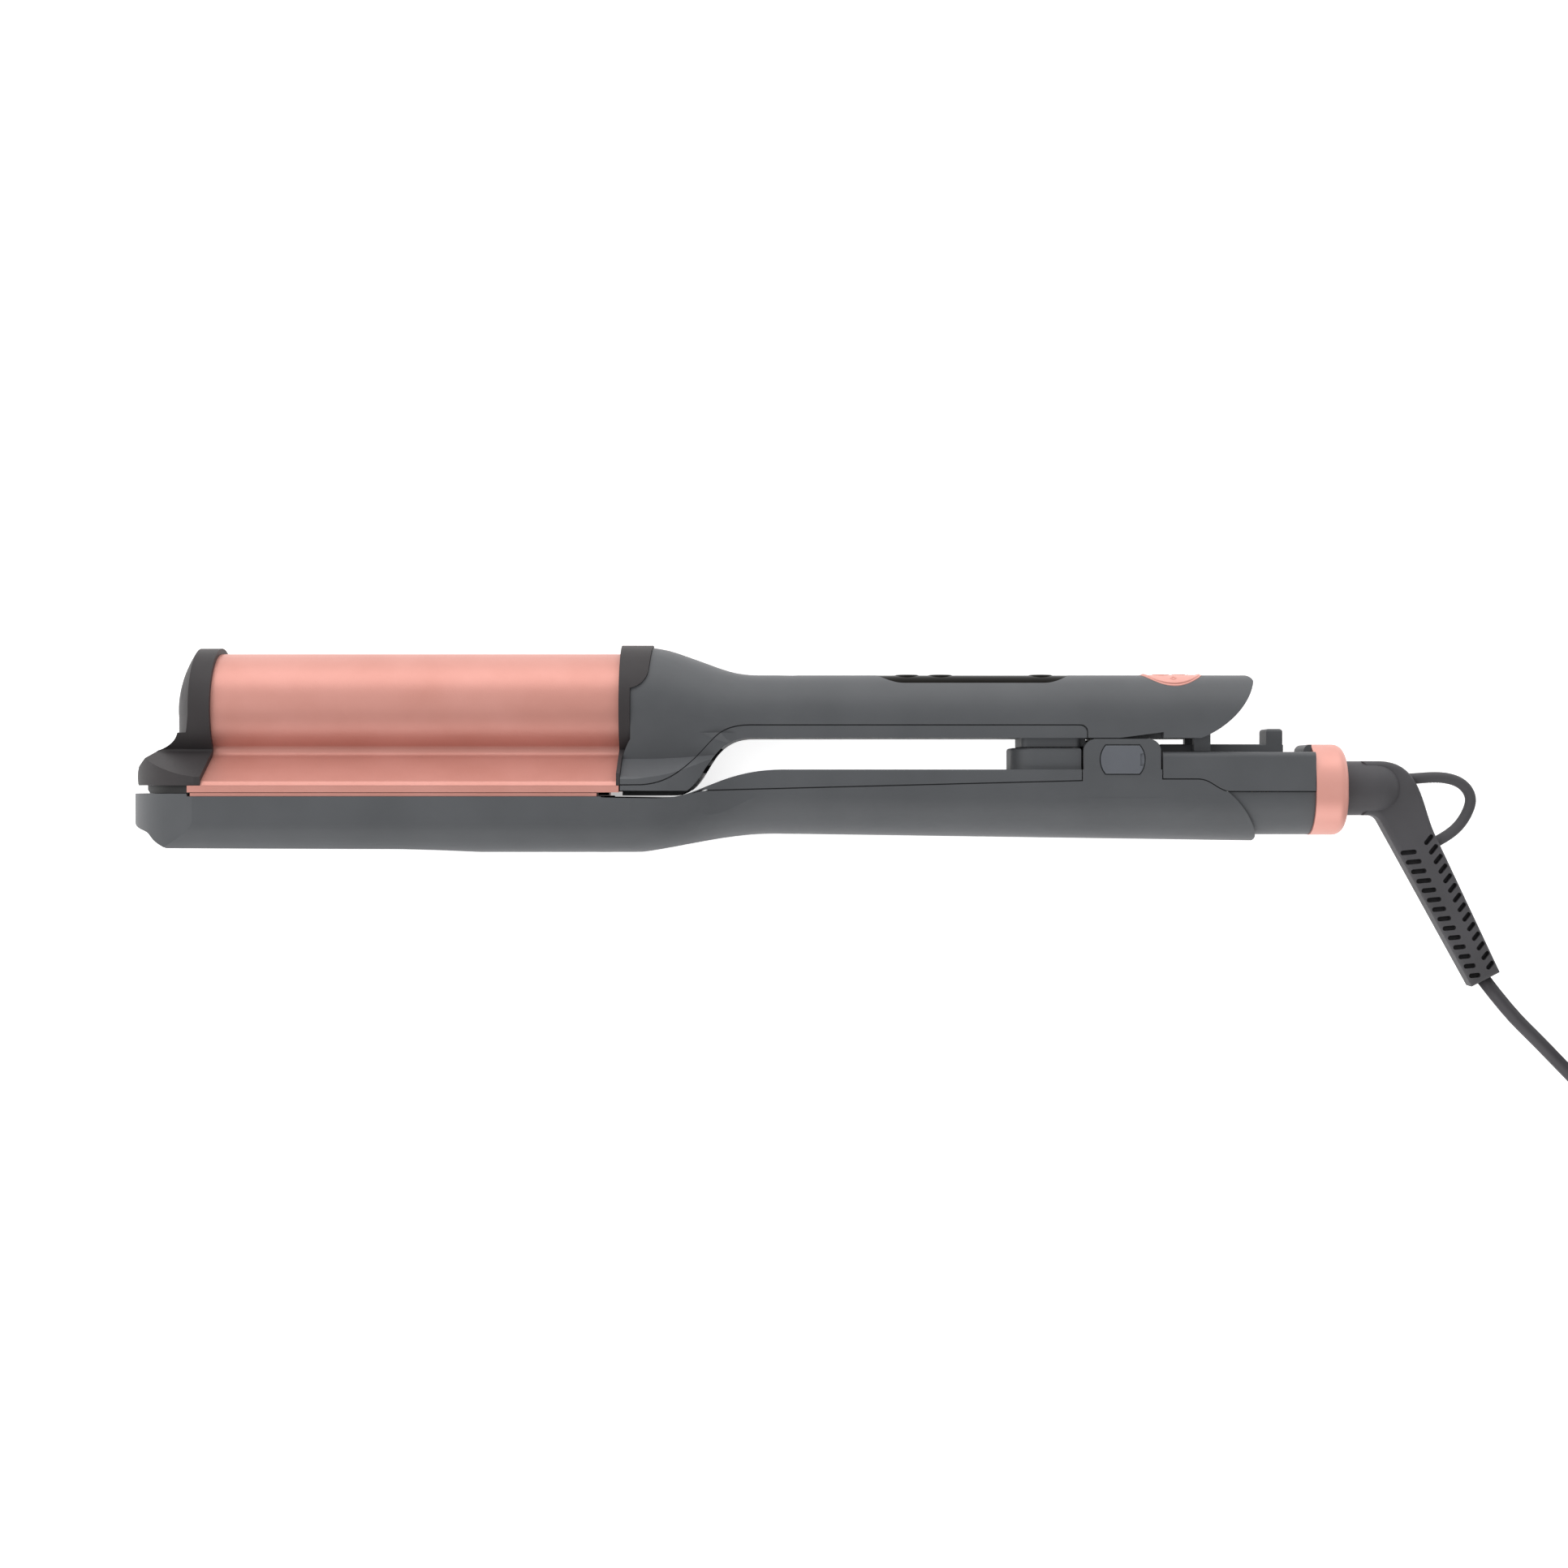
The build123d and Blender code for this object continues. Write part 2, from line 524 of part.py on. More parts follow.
def front_cap():
    """End of the upper jaw: a dome over the barrel, flat-fronted below it, and a tab under it."""
    dome_r = BARREL_R + CAP_PROUD

    def front(less=0.0):
        r = dome_r - less
        return make_face([
            ThreePointArc((-159.6 + less, 0), (-157.0 + less, 11.0 - less), (-153.4, r)),
            Line((-153.4, r), (BARREL_FROM, r)),
            Line((BARREL_FROM, r), (BARREL_FROM, 0)),
            Line((BARREL_FROM, 0), (-159.6 + less, 0)),
        ])

    dome_part = Pos(0, BARREL_Y, 0) * revolve(front(), Axis.X)
    throat = column(front(0.07) + mirror(front(0.07), about=Plane.XZ), -4, BARREL_Y)
    throat &= along(bell(CAP_PROUD - 0.07), -176, -140)
    tab = make_face([
        Line((BARREL_FROM, 4.0), (-156.6, 4.0)),
        Spline((-156.6, 4.0), (-158.9, 0.9), (-162.6, -0.9), tangents=((-0.3, -1), (-1, -0.3))),
        Line((-162.6, -0.9), (-168.2, -5.5)),
        ThreePointArc((-168.2, -5.5), (-168.9, -7.4), (-168.7, -10.0)),
        ThreePointArc((-168.7, -10.0), (-168.5, -10.5), (-168.0, BRIM_Y)),
        Line((-168.0, BRIM_Y), (BARREL_FROM, BRIM_Y)),
        Line((BARREL_FROM, BRIM_Y), (BARREL_FROM, 4.0)),
    ])
    flat = slab(tab, -30, 30) & along(bell(CAP_PROUD - 0.03), -176, -140) & column(jaw_plan(0.4), -40, 40)
    body = dome_part + throat + flat
    body -= along(bell(0.05, foot=-40), -149.3, -140)
    body -= along(bell(-BARREL_WALL - 0.05, foot=-40), -152.0, -140)
    body -= block(-152.0, -140, -20, -9.2, -26.8, 26.8)
    body -= along(bell(-BARREL_WALL - 1.5, foot=-40), -156.0, -150) & block(-157, -140, -2, 40, -13, 13)
    return body & block(-180, -140, BRIM_Y, 40, -40, 40)


def tip_insulator():
    body = column(jaw_plan(2.4), -12.85, BRIM_Y - 0.01) & block(-165.6, PLATE_FROM - 0.1, -14, 0, -40, 40)
    return chamfer(body.faces().sort_by(Axis.Y)[0].edges().group_by(Axis.X)[0], 1.0)


def barrel():
    hollow = bell(-BARREL_WALL, foot=-40) + Pos(0, BRIM_Y) * Rectangle(2 * 26.6, 2.2)
    return along(bell() - hollow, BARREL_FROM - 1.7, BARREL_TO + 0.8)


def upper_wave_plate():
    inner = bell(-BARREL_WALL - 0.15, foot=-40)
    arch = Pos(0, 0.85) * Rectangle(2 * 10.0, 2 * 12.75)
    arch = fillet(arch.vertices().group_by(Axis.Y)[-1], 5.0)
    slopes = Pos(0, -23) * Rectangle(80, 40)
    lip = Pos(0, (BRIM_Y + LIP_Y) / 2 - 0.02) * Rectangle(2 * (JAW_HALF - 0.15), BRIM_Y - LIP_Y - 0.06)
    lip += Pos(0, -11.0) * Rectangle(2 * 24.0, 3.3) + Pos(0, -11.5) * Rectangle(2 * 26.4, 2.0)
    whole = (inner & (arch + slopes)) + lip
    whole &= Pos(0, 20 + LIP_Y) * Rectangle(80, 40)
    return along(whole - tunnel(), PLATE_FROM, PLATE_TO + 4.9)


def upper_heater():
    return block(-141, -48, 13.65, 15.4, -5.5, 5.5)


def upper_heater_clamp():
    hat = closed((-6.5, 15.45), (6.5, 15.45), (6.5, 16.1), (5.2, 16.1), (3.0, 24.9), (-3.0, 24.9),
                 (-5.2, 16.1), (-6.5, 16.1)) - closed((-4.4, 16.1), (4.4, 16.1), (2.4, 24.2), (-2.4, 24.2))
    return along(hat, -132, -57)


def temperature_sensor():
    return rod_x(-46.0, -40.5, 14.9, 0, 1.2) + rod_x(-41, -37.0, 14.9, 0, 0.35)


BUTTON_X = (47.0, 56.5, 85.0)
DISPLAY = (63.5, 77.0)
PANEL = (38.5, 92.7)
BADGE_X = 122.0
PANEL_DEEP = 1.4         # thickness of the window and the badge


def panel_column(grow=0.0):
    """Strip with round ends, let into the top of the handle."""
    long, wide = (PANEL[1] - PANEL[0]) / 2 + grow, 7.6 + grow
    strip = Pos((PANEL[0] + PANEL[1]) / 2, 0) * RectangleRounded(2 * long, 2 * wide, wide - 0.1)
    return column(strip, 5, 40)


def badge_column(grow=0.0):
    return column(Pos(BADGE_X, 0) * Circle(8.75 + grow), 13.5, 40)


def control_window():
    body = (upper_body(0.02) - upper_body(PANEL_DEEP - 0.05)) & panel_column()
    for x in BUTTON_X:
        body -= rod_y(x, 5, 40, 0, 3.7)
    return body


def button(x):
    body = rod_y(x, 17.9, GRIP_TOP + 0.1, 0, 3.55)
    return fillet(body.faces().sort_by(Axis.Y)[-1].edges(), 0.4) + rod_y(x, 16.6, 18.0, 0, 1.4)


def display():
    return block(DISPLAY[0], DISPLAY[1], 15.2, GRIP_TOP - 1.95, -4.0, 4.0)


def control_board():
    board = block(40, 96, 13.6, 15.15, -7.6, 7.6)
    return board + block(41, 44, 15.1, 16.6, -6, 6) + block(90, 95, 15.1, 16.8, -4, 4)


def tact_switches():
    bodies = [block(x - 3, x + 3, 15.2, 15.75, -3, 3) for x in BUTTON_X]
    return Compound(children=[b.solids()[0] for b in bodies])


def badge():
    return (upper_body(-0.12) - upper_body(PANEL_DEEP - 0.05)) & badge_column()


# ---------------------------------------------------------------- cord, its swivel and its plug
def swivel_head():
    body = rod_x(153.6, END_X - 0.1, SWIVEL_Y, 0, 6.0) + rod_x(155.4, 160.0, SWIVEL_Y, 0, 7.7)
    body += rod_x(141.8, 153.8, SWIVEL_Y, 0, 2.6)
    return body + rod_x(END_X - 4, END_X - 0.1, SWIVEL_Y, 0, 7.8)


def slip_rings():
    ring = [rod_x(x, x + 3, SWIVEL_Y, 0, 4.0) - rod_x(x - 1, x + 4, SWIVEL_Y, 0, 2.62) for x in (142.6, 146.8)]
    return Compound(children=[r.solids()[0] for r in ring])


BOOT_TOP = (191.6, -28.0)
BOOT_END = (211.0, -65.7)


def boot_outline():
    """Side outline of the elbow and its tapering tail."""
    (ax, ay), (bx, by) = BOOT_TOP, BOOT_END
    run = hypot(bx - ax, by - ay)
    nx, ny = (by - ay) / run, -(bx - ax) / run      # across the tail, towards the cord's outer side
    top, end = 6.0, 4.5
    return make_face([
        Line((END_X, SWIVEL_Y + 7.7), (180.5, SWIVEL_Y + 7.7)),
        Spline((180.5, SWIVEL_Y + 7.7), (190.2, -8.4), (ax - nx * top, ay - ny * top),
               tangents=((1, 0), (bx - ax, by - ay))),
        Line((ax - nx * top, ay - ny * top), (bx - nx * end, by - ny * end)),
        Line((bx - nx * end, by - ny * end), (bx + nx * end, by + ny * end)),
        Line((bx + nx * end, by + ny * end), (181.3, -21.15)),
        Spline((181.3, -21.15), (178.1, SWIVEL_Y - 7.7), tangents=((ax - bx, ay - by), (-1, 0))),
        Line((178.1, SWIVEL_Y - 7.7), (END_X, SWIVEL_Y - 7.7)),
        Line((END_X, SWIVEL_Y - 7.7), (END_X, SWIVEL_Y + 7.7)),
    ])


def strain_relief():
    """Moulded elbow: round at the swivel, flatter along the tail, with staggered pockets each side."""
    flat = slab(boot_outline(), -4.2, 4.2) & block(176, 240, -90, 0, -10, 10)
    flat = fillet(flat.edges().filter_by(Plane.XY).group_by(Axis.Z)[-1], 1.6)
    flat = fillet(flat.edges().filter_by(Plane.XY).group_by(Axis.Z)[0], 1.6)
    body = rod_x(END_X, 180.0, SWIVEL_Y, 0, 7.7) + Pos(180.0, SWIVEL_Y, 0) * Sphere(7.6) + flat
    (ax, ay), (bx, by) = BOOT_TOP, BOOT_END
    run = hypot(bx - ax, by - ay)
    angle = heading(bx - ax, by - ay)
    for side, first, off, off_end, long, long_end, lean in (
            (-1, 0.2, 3.2, 2.5, 4.5, 3.2, -22), (1, -0.4, 3.5, 2.7, 3.5, 2.9, 24)):
        for k in range(14):
            s = first + 3.04 * k
            t = k / 13
            wide = long + (long_end - long) * t
            cx, cy = ax + (bx - ax) * s / run, ay + (by - ay) * s / run
            slot = extrude(RectangleRounded(1.35, wide, 0.6), amount=12, both=True) - block(-3, 3, -5, 5, -1.6, 1.6)
            body -= (Pos(cx, cy, 0) * Rot(0, 0, angle) * Pos(0, side * (off + (off_end - off) * t), 0)
                     * Rot(0, 0, lean) * slot)
    return body


def heading(x, y):
    return Vector(1, 0, 0).get_signed_angle(Vector(x, y, 0), Vector(0, 0, 1))


def hang_loop():
    """Round band that leaves the elbow's crown and comes back to the tail."""
    path = Spline((186.0, -8.6, 0), (192.0, -8.7, 0), (200.8, -8.7, 0), (205.6, -10.9, 0), (207.4, -14.3, 0),
                  (206.6, -18.1, 0), (203.2, -23.0, 0), (197.9, -26.6, 0), (193.5, -29.0, 0))
    band = sweep(Plane(origin=path @ 0, z_dir=path % 0) * Circle(1.55), path=path)
    return band - slab(boot_outline(), -8, 8)


def cord_route():
    """Where the cord lies between the boot and the coil, chosen by hand."""
    return [
        (211.0, -65.7, 28.5), (218.6, -75.2, 27.0), (230.0, -84.5, 17.5), (243.0, -96.0, 8.0),
        (255.0, -107.2, 3.6), (267.9, -117.1, 2.9),
    ]


def tail_route():
    """From the last turn of the coil down to the plug."""
    return [(311.4, -87.4, 15.2), (309.0, -75.0, 14.6), (306.0, -62.0, 10.8), (304.8, -50.0, 8.4)]


def tube(route):
    """Straight runs joined by tangent arcs, each as large as its runs allow."""
    runs = [(Vector(*b) - Vector(*a)) for a, b in zip(route, route[1:])]
    radii = [0.45 * min(u.length, v.length) / tan(radians(u.get_angle(v)) / 2) for u, v in zip(runs, runs[1:])]
    print("arc radii", [round(r, 1) for r in radii])
    path = FilletPolyline(*route, radius=radii)
    solid = sweep(Plane(origin=path @ 0, z_dir=path % 0) * Circle(CORD_D / 2), path=path)
    print("tube volume ratio", round(solid.volume / (pi * CORD_D**2 / 4 * path.length), 4))
    return solid


def coil_section(grow=0.0):
    low, high = COIL_LIFT - grow, COIL_LIFT + CORD_D + (COIL_LAYERS - 1) * COIL_RISE + grow
    outer = COIL_R + CORD_D / 2 + 0.1 + grow
    inner = COIL_R - (COIL_COLUMNS - 1) * COIL_PITCH - CORD_D / 2 - 0.1 - grow
    return Pos((inner + outer) / 2, (low + high) / 2) * RectangleRounded(outer - inner, high - low, CORD_D / 2)


def cord_coil():
    return Pos(COIL_C[0], COIL_C[1], 0) * revolve(Plane.XZ * coil_section(), Axis.Z)


def coil_tie():
    """Hook-and-loop strap round the turns."""
    high = COIL_LIFT + CORD_D + (COIL_LAYERS - 1) * COIL_RISE
    outer = COIL_R + CORD_D / 2 + 0.2
    inner = COIL_R - (COIL_COLUMNS - 1) * COIL_PITCH - CORD_D / 2 - 0.2
    strap = block(inner - 1.2, outer + 0.75, -4.5, 4.5, 0.02, high + 0.78)
    strap = fillet(strap.edges().filter_by(Axis.Y), 1.2)
    strap -= block(inner, outer, -10, 10, COIL_LIFT - 0.02, high + 0.05)
    strap -= revolve(Plane.XZ * coil_section(0.05), Axis.Z)
    return Pos(COIL_C[0], COIL_C[1], 0) * Rot(0, 0, 150) * strap


PLUG_AT = (304.8, -50.0, 8.4)
PLUG_TURN = 84.3         # degrees from +X to the way the blades point


def plug_body():
    grip = Pos(15, 0, 0) * Box(22, 21, 13.6)
    grip = fillet(grip.edges().filter_by(Axis.X), 4.0)
    sleeve = Pos(0, 0, 0) * Rot(0, 90, 0) * extrude(Circle(3.4), amount=6)
    body = grip + sleeve
    body -= Pos(13, 11.6, 0) * Rot(0, 0, 0) * Cylinder(3, 20) + Pos(13, -11.6, 0) * Cylinder(3, 20)
    return Pos(*PLUG_AT) * Rot(0, 0, PLUG_TURN) * Pos(0, 0, -1.6) * body


def plug_blades():
    blade = Box(25, 1.5, 6.35)
    pair = [Pos(34.8 - 4.0, y, -1.6) * blade for y in (-6.35, 6.35)]
    place = Pos(*PLUG_AT) * Rot(0, 0, PLUG_TURN)
    return Compound(children=[(place * b).solids()[0] for b in pair])


# ---------------------------------------------------------------- write the parts
def write(name, shape, lift=JAW_HALF):
    shape = Pos(0, 0, lift) * shape
    whole = solids(shape)
    whole.label = name
    export_step(whole, f"parts/{name}.step")
    box = whole.bounding_box()
    print(name, len(shape.solids()), round(shape.volume), box.min, box.max)


def main():
    os.makedirs("parts", exist_ok=True)
    hollow = upper_shells()
    about_the_middle = {
        "lower_shell": lower_shell(), "lower_handle_cover": lower_handle_cover(),
        "rear_housing": rear_housing(), "end_ring": end_ring(),
        "lower_wave_plate": lower_wave_plate(), "lower_plate_carrier": lower_plate_carrier(),
        "lower_heater": lower_heater(), "thermal_fuse": thermal_fuse(), "power_board": power_board(),
        "hinge_pin": hinge_pin(), "hinge_caps": hinge_caps(), "opening_spring": opening_spring(),
        "lock_detent_spring": lock_detent_spring(), "swivel_socket": swivel_socket(),
        "contact_brushes": contact_brushes(), "lock_slider": lock_slider(),
        "barrel": barrel(), "upper_wave_plate": upper_wave_plate(), "upper_heater": upper_heater(),
        "upper_heater_clamp": upper_heater_clamp(), "temperature_sensor": temperature_sensor(),
        "front_cap": front_cap(), "tip_insulator": tip_insulator(), "rear_collar": rear_collar(),
        "upper_handle_shell": upper_handle_shell(hollow), "upper_handle_cover": upper_handle_cover(hollow),
        "control_window": control_window(), "display": display(), "control_board": control_board(),
        "tact_switches": tact_switches(), "badge": badge(),
        "plus_button": button(BUTTON_X[0]), "minus_button": button(BUTTON_X[1]),
        "power_button": button(BUTTON_X[2]),
        "swivel_head": swivel_head(), "slip_rings": slip_rings(),
        "strain_relief": strain_relief(), "hang_loop": hang_loop(),
    }
    on_the_surface = {
        "cord_tube": tube(cord_route()), "cord_tail": tube(tail_route()), "cord_coil": cord_coil(),
        "coil_tie": coil_tie(), "plug_body": plug_body(), "plug_blades": plug_blades(),
    }
    for name, shape in about_the_middle.items():
        write(name, shape)
    for name, shape in on_the_surface.items():
        write(name, shape, lift=0)


main()
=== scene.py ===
# %% [markdown]
# # A deep-wave curling iron
# The iron is a clamp with two long arms. The upper jaw is a coated barrel with flared brims, and the lower jaw
# is a grey trough with a second wave plate in it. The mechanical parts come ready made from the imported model,
# so this lesson is about finishes, the cord, the small printed and embossed details, light and camera.

# %% Load the frame
import json
import math

import bmesh
import bpy
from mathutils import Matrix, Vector
from mathutils.bvhtree import BVHTree


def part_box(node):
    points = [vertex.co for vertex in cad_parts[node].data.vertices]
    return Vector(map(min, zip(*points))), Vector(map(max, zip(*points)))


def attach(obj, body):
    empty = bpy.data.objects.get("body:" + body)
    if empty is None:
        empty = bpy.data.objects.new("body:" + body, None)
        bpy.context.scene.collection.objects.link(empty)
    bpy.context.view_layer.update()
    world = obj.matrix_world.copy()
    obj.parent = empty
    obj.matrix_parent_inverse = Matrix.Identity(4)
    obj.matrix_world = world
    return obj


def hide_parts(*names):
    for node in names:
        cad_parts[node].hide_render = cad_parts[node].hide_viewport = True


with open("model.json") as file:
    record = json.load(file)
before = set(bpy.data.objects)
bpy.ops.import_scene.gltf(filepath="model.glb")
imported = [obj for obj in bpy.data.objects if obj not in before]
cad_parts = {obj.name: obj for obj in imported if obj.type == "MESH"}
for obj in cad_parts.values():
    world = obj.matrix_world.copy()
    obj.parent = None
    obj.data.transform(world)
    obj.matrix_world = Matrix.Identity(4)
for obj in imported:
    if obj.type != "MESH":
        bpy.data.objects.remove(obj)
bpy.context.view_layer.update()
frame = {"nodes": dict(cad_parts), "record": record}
MM = 0.001
MIDDLE_Z = 28.5 * MM

# %% [markdown]
# ## Camera
# A long object on a table is easiest to judge from straight above. The lens is a short telephoto at 70 cm, which
# keeps the barrel's near side from looking swollen. The picture's up is the way from the lower arm to the upper.

# %% Camera
SENSOR_MM = 36.0
VIEW_WIDE = 446.2 * MM
CAMERA_OVER = 700 * MM
AIM = Vector((12.1 * MM, -10.3 * MM, MIDDLE_Z))

lens_data = bpy.data.cameras.new("camera")
lens_data.sensor_width = SENSOR_MM
lens_data.lens = SENSOR_MM * CAMERA_OVER / VIEW_WIDE
lens_data.clip_start, lens_data.clip_end = 0.01, 20
camera = bpy.data.objects.new("camera", lens_data)
camera.location = AIM + Vector((0, 0, CAMERA_OVER))
bpy.context.scene.collection.objects.link(camera)
bpy.context.scene.camera = camera
print("lens", round(lens_data.lens, 1), "mm")

# %% [markdown]
# ## Colours and nodes
# Colours are written as they look on a screen and turned to the linear values that the shader wants. One small
# function adds a node with its settings and its links, so that each finish below reads as a short recipe.

# %% Helpers for finishes
def linear(hex_colour):
    """A screen colour such as "#5F6165" as linear red, green, blue and alpha."""
    parts = [int(hex_colour[i:i + 2], 16) / 255 for i in (1, 3, 5)]
    return [c / 12.92 if c <= 0.04045 else ((c + 0.055) / 1.055) ** 2.4 for c in parts] + [1.0]


def put(tree, kind, settings=None, links=None):
    """A new node with its settings and what feeds it."""
    node = tree.nodes.new(kind)
    for name, value in (settings or {}).items():
        if name in node.inputs:
            node.inputs[name].default_value = value
        else:
            setattr(node, name, value)
    for name, source in (links or {}).items():
        tree.links.new(source, node.inputs[name])
    return node


def finish(name, colours, rough, grain_mm, relief_mm, pattern="ShaderNodeTexNoise", cloud_mm=18, **shader):
    """A finish with cloudy colour between two shades, a grain of that size and depth, and uneven gloss."""
    made = bpy.data.materials.new(name)
    made.use_nodes = True
    tree = made.node_tree
    tree.nodes.clear()
    place = put(tree, "ShaderNodeTexCoord").outputs["Object"]
    cloud = put(tree, "ShaderNodeTexNoise", {"Scale": 1 / (cloud_mm * MM), "Detail": 3.0}, {"Vector": place})
    ramp = put(tree, "ShaderNodeValToRGB", links={"Fac": cloud.outputs["Fac"]})
    for step, (at, shade) in enumerate(zip((0.3, 0.7), colours)):
        ramp.color_ramp.elements[step].position = at
        ramp.color_ramp.elements[step].color = linear(shade)
    grain = put(tree, pattern, {"Scale": 1 / (grain_mm * MM)}, {"Vector": place})
    height = grain.outputs["Fac" if pattern == "ShaderNodeTexNoise" else "Distance"]
    relief = put(tree, "ShaderNodeBump", {"Strength": 1.0, "Distance": relief_mm * MM}, {"Height": height})
    gloss = put(tree, "ShaderNodeMapRange", {"To Min": rough[0], "To Max": rough[1]}, {"Value": height})
    body = put(tree, "ShaderNodeBsdfPrincipled", shader,
               {"Base Color": ramp.outputs["Color"], "Roughness": gloss.outputs["Result"],
                "Normal": relief.outputs["Normal"]})
    put(tree, "ShaderNodeOutputMaterial", links={"Surface": body.outputs["BSDF"]})
    return made

# %% [markdown]
# ## Finishes
# The grips are ABS with a soft-touch lacquer: a dull, slightly warm grey with a grain too fine to feel. The
# plates are aluminium with a sprayed ceramic coat that carries metal flake, so they shine softly and sparkle.
# The ends of the jaws are a harder, heat-proof nylon, darker and a little glossier than the grips.

# %% Make the finishes
# The real grain of these mouldings is about 0.05 mm; it is drawn three times coarser, so that it shows.
FINISHES = {
    # soft-touch lacquer: low gloss with a broad, weak highlight
    "soft_touch_grey": finish("soft_touch_lacquer", ("#414346", "#47494C"), (0.5, 0.62), 0.16, 0.006,
                              **{"IOR": 1.48, "Sheen Weight": 0.08}),
    # glass-filled nylon: darker, a little glossier, with a visible fleck
    "charcoal_plastic": finish("filled_nylon", ("#312E2F", "#383536"), (0.46, 0.6), 0.22, 0.008,
                               **{"Specular IOR Level": 0.22}),
    # sprayed ceramic coat with metal flake: about a third metal, the cells are the flakes
    "rose_coating": finish("flake_ceramic_coat", ("#BE8377", "#C58B80"), (0.34, 0.46), 0.3, 0.02,
                           pattern="ShaderNodeTexVoronoi", Metallic=0.36),
    # anodised aluminium, satin
    "rose_satin": finish("satin_anodised", ("#CE9084", "#D3998E"), (0.4, 0.5), 0.12, 0.004, Metallic=0.3),
    # moulded ABS with a fine spark-eroded texture
    "cap_plastic": finish("sparked_abs", ("#505359", "#575A60"), (0.46, 0.56), 0.18, 0.008, IOR=1.5),
    # black heat-proof polymer
    "insulator": finish("black_polymer", ("#050505", "#090909"), (0.45, 0.6), 0.2, 0.008, IOR=1.55),
    # polished acrylic
    "window_gloss": finish("polished_acrylic", ("#0B0906", "#100E0A"), (0.1, 0.16), 0.6, 0.0004,
                           **{"IOR": 1.25, "Specular IOR Level": 0.06}),
    "button_plastic": finish("lacquered_abs", ("#141311", "#191815"), (0.3, 0.38), 0.25, 0.002,
                             **{"IOR": 1.4, "Specular IOR Level": 0.3}),
    "heater_ceramic": finish("sintered_alumina", ("#E4E0D6", "#EEEAE0"), (0.5, 0.65), 0.15, 0.01, IOR=1.7),
    "spring_steel": finish("drawn_steel", ("#9C9C9E", "#B2B2B4"), (0.22, 0.34), 0.2, 0.004, Metallic=1.0),
    "brass_contact": finish("rolled_brass", ("#C9A24E", "#D8B565"), (0.2, 0.32), 0.25, 0.003, Metallic=1.0),
    "board_laminate": finish("circuit_laminate", ("#0F4526", "#15552F"), (0.3, 0.42), 0.4, 0.004, IOR=1.55),
    "sensor_glass": finish("potting_resin", ("#B9743E", "#C98449"), (0.15, 0.25), 0.8, 0.002, IOR=1.5),
    # moulded PVC, matt from the mould's blasted surface
    "boot_rubber": finish("moulded_pvc", ("#414042", "#48474A"), (0.52, 0.64), 0.2, 0.01,
                          **{"Specular IOR Level": 0.25}),
    "cord_rubber": finish("extruded_pvc", ("#3C3A3D", "#434144"), (0.44, 0.56), 0.25, 0.008,
                          **{"Specular IOR Level": 0.25}),
    # the pale marks printed on the keys
    "key_print": finish("screen_print", ("#C8C6C2", "#D2D0CC"), (0.5, 0.6), 0.3, 0.001, IOR=1.5),
    # woven hook-and-loop strap
    "strap_fabric": finish("woven_strap", ("#161616", "#232323"), (0.8, 0.95), 0.45, 0.12,
                           pattern="ShaderNodeTexVoronoi", **{"Sheen Weight": 0.4}),
}
slot_of = {entry["node"]: entry["material_slot"] for entry in frame["record"]["subparts"]}
for node_name, node_object in frame["nodes"].items():
    made = FINISHES[slot_of[node_name]]
    if node_object.material_slots:
        for each in node_object.material_slots:
            each.link = "OBJECT"
            each.material = made
    else:
        node_object.data.materials.append(made)
print(len(FINISHES), "finishes on", len(slot_of), "nodes")

# %% [markdown]
# ## Cord
# The lead is a flat twin flex with shallow grooves along it, 4 mm wide and 3.4 mm thick, about 1.74 m long. It
# leaves the elbow at half the jaws' width, sinks to the table, and the rest is wound into a neat coil of four
# layers. A smooth spline gives the line, and a grooved section is carried along it so that the flat side lies
# down.

# %% The cord's line
CORD_WIDE, CORD_THICK = 4.0 * MM, 3.4 * MM
COIL_X, COIL_Y = 286.0, -97.0
COIL_OUTER, COIL_PITCH, COIL_RISE = 27.1, 4.1, 3.5
COIL_LOW = 2.5
START_TURN, END_TURN = 228.0, 380.0 + 11 * 360.0
STEP = 20.0

leaving = [
    (211.0, -65.7, 28.5), (218.6, -75.2, 27.0), (230.0, -84.5, 17.5), (243.0, -96.0, 8.0),
    (255.0, -107.2, 3.6),
]
arriving = [(309.0, -75.0, 13.0), (306.0, -62.0, 9.6), (304.8, -50.0, 6.8)]


def gentle(t):
    """From 0 to 1 with no jerk at either end."""
    return t * t * (3 - 2 * t)


def coil_point(degrees):
    """The turns run inwards on one layer and outwards on the next, and shift in the last sixth of a turn."""
    turned = (degrees - START_TURN) / 360
    turn = int(turned + 1e-9)
    shift = gentle(max(0.0, (turned - turn - 5 / 6) * 6))
    layer, column = divmod(turn, 3)
    inwards = column if layer % 2 == 0 else 2 - column
    if column == 2:
        layer += shift
    else:
        inwards += shift if layer % 2 == 0 else -shift
    radius = COIL_OUTER - COIL_PITCH * inwards
    angle = math.radians(degrees)
    return (COIL_X + radius * math.cos(angle), COIL_Y + radius * math.sin(angle), COIL_LOW + COIL_RISE * layer)


steps = int((END_TURN - START_TURN) / STEP)
turns = [coil_point(START_TURN + STEP * k) for k in range(steps + 1)]
route = leaving + turns + arriving


def smooth_line(points_mm, name):
    """A NURBS curve with these control points."""
    data = bpy.data.curves.new(name, "CURVE")
    data.dimensions = "3D"
    data.resolution_u = 4
    spline = data.splines.new("NURBS")
    spline.points.add(len(points_mm) - 1)
    for point, place in zip(spline.points, points_mm):
        point.co = (*(c * MM for c in place), 1)
    spline.order_u = 3
    spline.use_endpoint_u = True
    return data


